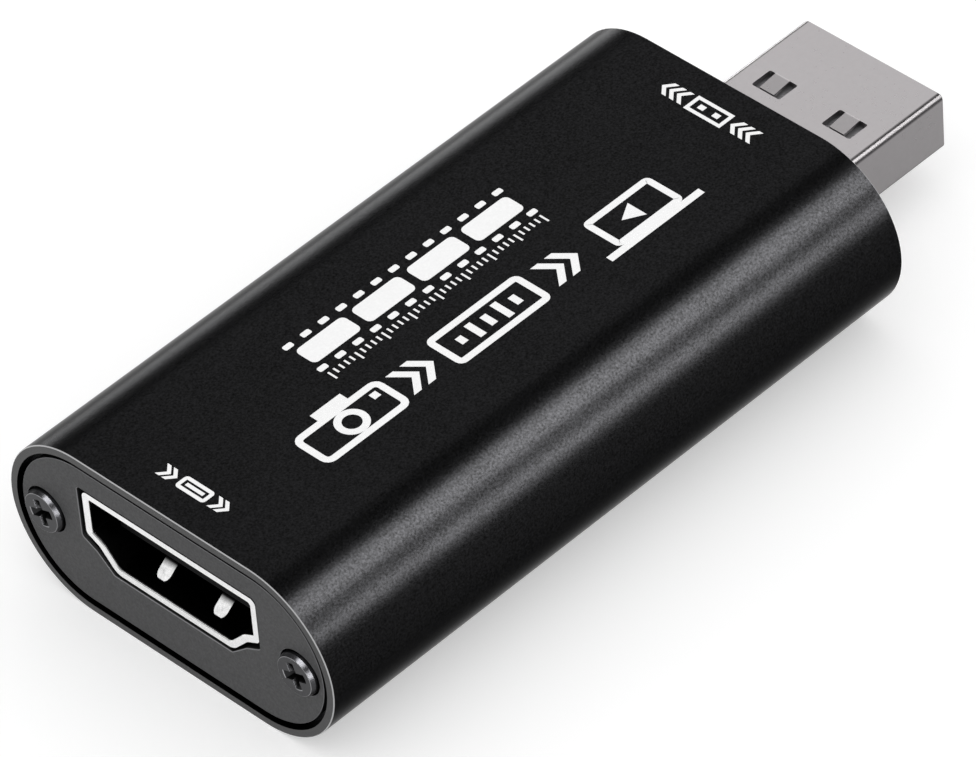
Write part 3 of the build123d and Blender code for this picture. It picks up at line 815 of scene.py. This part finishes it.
def inkDisc(u, v, radius, sides=ink["ringSides"], turn=0.0):
    clearSelection()
    bpy.ops.mesh.primitive_circle_add(
        vertices=sides, radius=radius * mm, fill_type="NGON", location=(0, 0, 0)
    )
    disc = bpy.context.object
    bpy.ops.object.mode_set(mode="EDIT")
    bpy.ops.transform.rotate(
        value=math.radians(turn), orient_axis="Z", center_override=(0, 0, 0)
    )
    bpy.ops.transform.translate(value=(u * mm, v * mm, 0))
    bpy.ops.object.mode_set(mode="OBJECT")
    return disc


def hollowed(shape, stroke):
    # only a line of this width is left along the shape's outline
    bpy.context.view_layer.objects.active = shape
    bpy.ops.object.mode_set(mode="EDIT")
    bpy.ops.mesh.select_mode(type="FACE")
    bpy.ops.mesh.select_all(action="SELECT")
    bpy.ops.mesh.inset(thickness=stroke * mm)
    bpy.ops.mesh.delete(type="FACE")
    bpy.ops.object.mode_set(mode="OBJECT")
    return shape


def inkChevron(u, v, reach, height, stroke):
    chevron = inkPlate(0, 0, stroke, height)
    bpy.ops.object.mode_set(mode="EDIT")
    bpy.ops.mesh.select_all(action="SELECT")
    bpy.ops.mesh.subdivide(number_cuts=1)
    middleBand = height * mm / 4  # only the new middle row lies in it
    selectVerts(chevron, lambda place: abs(place.y) < middleBand)
    bpy.ops.transform.translate(value=(reach * mm, 0, 0))
    bpy.ops.mesh.select_all(action="SELECT")
    bpy.ops.transform.translate(value=((u - reach / 2) * mm, v * mm, 0))
    bpy.ops.object.mode_set(mode="OBJECT")
    return chevron


def printMark(name, shapes, x, y, turn):
    # joins the shapes, gives them the ink's thickness and lays them on the case's flat top
    clearSelection()
    for shape in shapes:
        shape.select_set(True)
    bpy.context.view_layer.objects.active = shapes[0]
    bpy.ops.object.join()
    mark = bpy.context.object
    mark.name = name
    bpy.ops.object.mode_set(mode="EDIT")
    bpy.ops.mesh.select_mode(type="FACE")
    bpy.ops.mesh.select_all(action="SELECT")
    bpy.ops.mesh.normals_make_consistent(inside=False)
    bpy.ops.mesh.extrude_region_move(
        TRANSFORM_OT_translate={"value": (0, 0, (ink["sunk"] + ink["proud"]) * mm)}
    )
    bpy.ops.mesh.select_all(action="SELECT")
    bpy.ops.mesh.normals_make_consistent(inside=False)
    bpy.ops.object.mode_set(mode="OBJECT")
    mark.rotation_euler = (0, 0, math.radians(turn))
    mark.location = (x * mm, y * mm, caseTop - ink["sunk"] * mm)
    bpy.ops.object.transform_apply(location=True, rotation=True, scale=True)
    mark.data.materials.append(whiteInk["material"])
    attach(mark, "root")
    return mark


caseLow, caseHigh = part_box("outer_shell")
caseTop = caseHigh.z
caseFront = caseLow.x / mm

# The arrows and the socket that stand at the input end
inputPrint = {
    "fromFront": 2.85,
    "aside": -0.1,
    "turn": -90.0,
    "stroke": 0.27,
    "icon": (2.5, 1.15),
    "blade": (1.5, 0.27),
    "arrow": (0.5, 1.1, 0.34),
    "arrowPlaces": (-2.5, -1.95, 1.95, 2.5),
}


def printInputMark(values):
    length, height = values["icon"]
    shapes = [
        hollowed(inkPlate(0, 0, length, height, values["stroke"]), values["stroke"]),
        inkPlate(0, 0, *values["blade"]),
    ]
    for u in values["arrowPlaces"]:
        shapes.append(inkChevron(u, 0, *values["arrow"]))
    return printMark(
        "inputMark", shapes, caseFront + values["fromFront"], values["aside"], values["turn"]
    )


printInputMark(inputPrint)

# The plug and its arrows at the output end
outputPrint = {
    "fromFront": 48.25,
    "aside": -0.4,
    "turn": 90.0,
    "stroke": 0.27,
    "icon": (3.1, 1.5),
    "window": (0.5, 0.42),
    "windowPlaces": (-0.62, 0.62),
    "arrow": (0.55, 1.3, 0.36),
    "arrowPlaces": (-3.6, -2.95, -2.3, 2.3, 2.95, 3.6),
}


def printOutputMark(values):
    length, height = values["icon"]
    shapes = [hollowed(inkPlate(0, 0, length, height), values["stroke"])]
    for u in values["windowPlaces"]:
        shapes.append(inkPlate(u, 0, *values["window"]))
    for u in values["arrowPlaces"]:
        shapes.append(inkChevron(u, 0, *values["arrow"]))
    return printMark(
        "outputMark", shapes, caseFront + values["fromFront"], values["aside"], values["turn"]
    )


printOutputMark(outputPrint)

# The bold row along the case: a camera, the box itself and a laptop, with arrows between them
rowPrint = {
    "fromFront": 25.835,
    "aside": -3.2,
    "stroke": 0.5,
    "camera": (-12.6, 7.4, 3.3, 0.7),  # place, length, height, corner
    "lens": (-12.6, 1.15),
    "cameraHump": (-12.6, 2.6, 0.7),
    "shutter": (-10.0, 1.15, 0.55),
    "box": (-0.6, 8.2, 3.3, 0.55),
    "bars": (-3.0, -1.8, -0.6, 0.6, 1.8),
    "barHeights": (0.7, 1.5, 1.1, 1.7, 0.9),
    "barWidth": 0.52,
    "screen": (12.4, 6.0, 3.3, 0.45),
    "base": (12.4, 8.4, 0.55),
    "play": (12.3, 0.95, 3, -90.0),  # place, radius, sides, turn
    "arrow": (1.05, 2.5, 0.66),
    "arrowPlaces": (-7.6, -6.35, 5.25, 6.5),
}


def printRow(values):
    stroke = values["stroke"]
    place, length, height, corner = values["camera"]
    shapes = [hollowed(inkPlate(place, 0, length, height, corner), stroke)]
    place, humpLength, humpHeight = values["cameraHump"]
    shapes.append(inkPlate(place, (height + humpHeight) / 2, humpLength, humpHeight))
    shapes.append(hollowed(inkDisc(values["lens"][0], 0, values["lens"][1]), stroke))
    place, shutterUp, shutterSize = values["shutter"]
    shapes.append(inkPlate(place, shutterUp - shutterSize, shutterSize, shutterSize))
    place, length, height, corner = values["box"]
    shapes.append(hollowed(inkPlate(place, 0, length, height, corner), stroke))
    for u, barHeight in zip(values["bars"], values["barHeights"]):
        shapes.append(inkPlate(u, 0, values["barWidth"], barHeight))
    place, length, height, corner = values["screen"]
    shapes.append(hollowed(inkPlate(place, 0, length, height, corner), stroke))
    place, baseLength, baseHeight = values["base"]
    shapes.append(inkPlate(place, -height / 2 - baseHeight / 2, baseLength, baseHeight))
    place, radius, sides, turn = values["play"]
    shapes.append(inkDisc(place, 0, radius, sides, turn))
    for u in values["arrowPlaces"]:
        shapes.append(inkChevron(u, 0, *values["arrow"]))
    return printMark("rowMark", shapes, caseFront + values["fromFront"], values["aside"], 0.0)


printRow(rowPrint)

# The film strip over it, with a fine row of ticks under its near edge
filmPrint = {
    "fromFront": 24.835,
    "aside": 3.1,
    "frames": 4,
    "frame": (4.2, 1.8, 0.4),
    "framePitch": 4.85,
    "holes": 13,
    "hole": (0.75, 0.45, 0.13),
    "holePitch": 1.55,
    "holeUp": 1.5,
    "ticks": 41,
    "tick": (0.14, 0.5),
    "longTick": 0.8,
    "ticksPerLong": 5,
    "tickPitch": 0.47,
    "tickUp": -2.05,
}


def printFilm(values):
    length, height, corner = values["frame"]
    shapes = []
    for i in range(values["frames"]):
        u = (i - (values["frames"] - 1) / 2) * values["framePitch"]
        shapes.append(inkPlate(u, 0, length, height, corner))
    holeLength, holeHeight, holeCorner = values["hole"]
    for i in range(values["holes"]):
        u = (i - (values["holes"] - 1) / 2) * values["holePitch"]
        for v in (-values["holeUp"], values["holeUp"]):
            shapes.append(inkPlate(u, v, holeLength, holeHeight, holeCorner))
    tickWidth, tickHeight = values["tick"]
    for i in range(values["ticks"]):
        u = (i - (values["ticks"] - 1) / 2) * values["tickPitch"]
        high = values["longTick"] if i % values["ticksPerLong"] == 0 else tickHeight
        shapes.append(inkPlate(u, values["tickUp"] - high / 2, tickWidth, high))
    return printMark(
        "filmMark", shapes, caseFront + values["fromFront"], values["aside"], 0.0
    )


printFilm(filmPrint)
print("case printed")
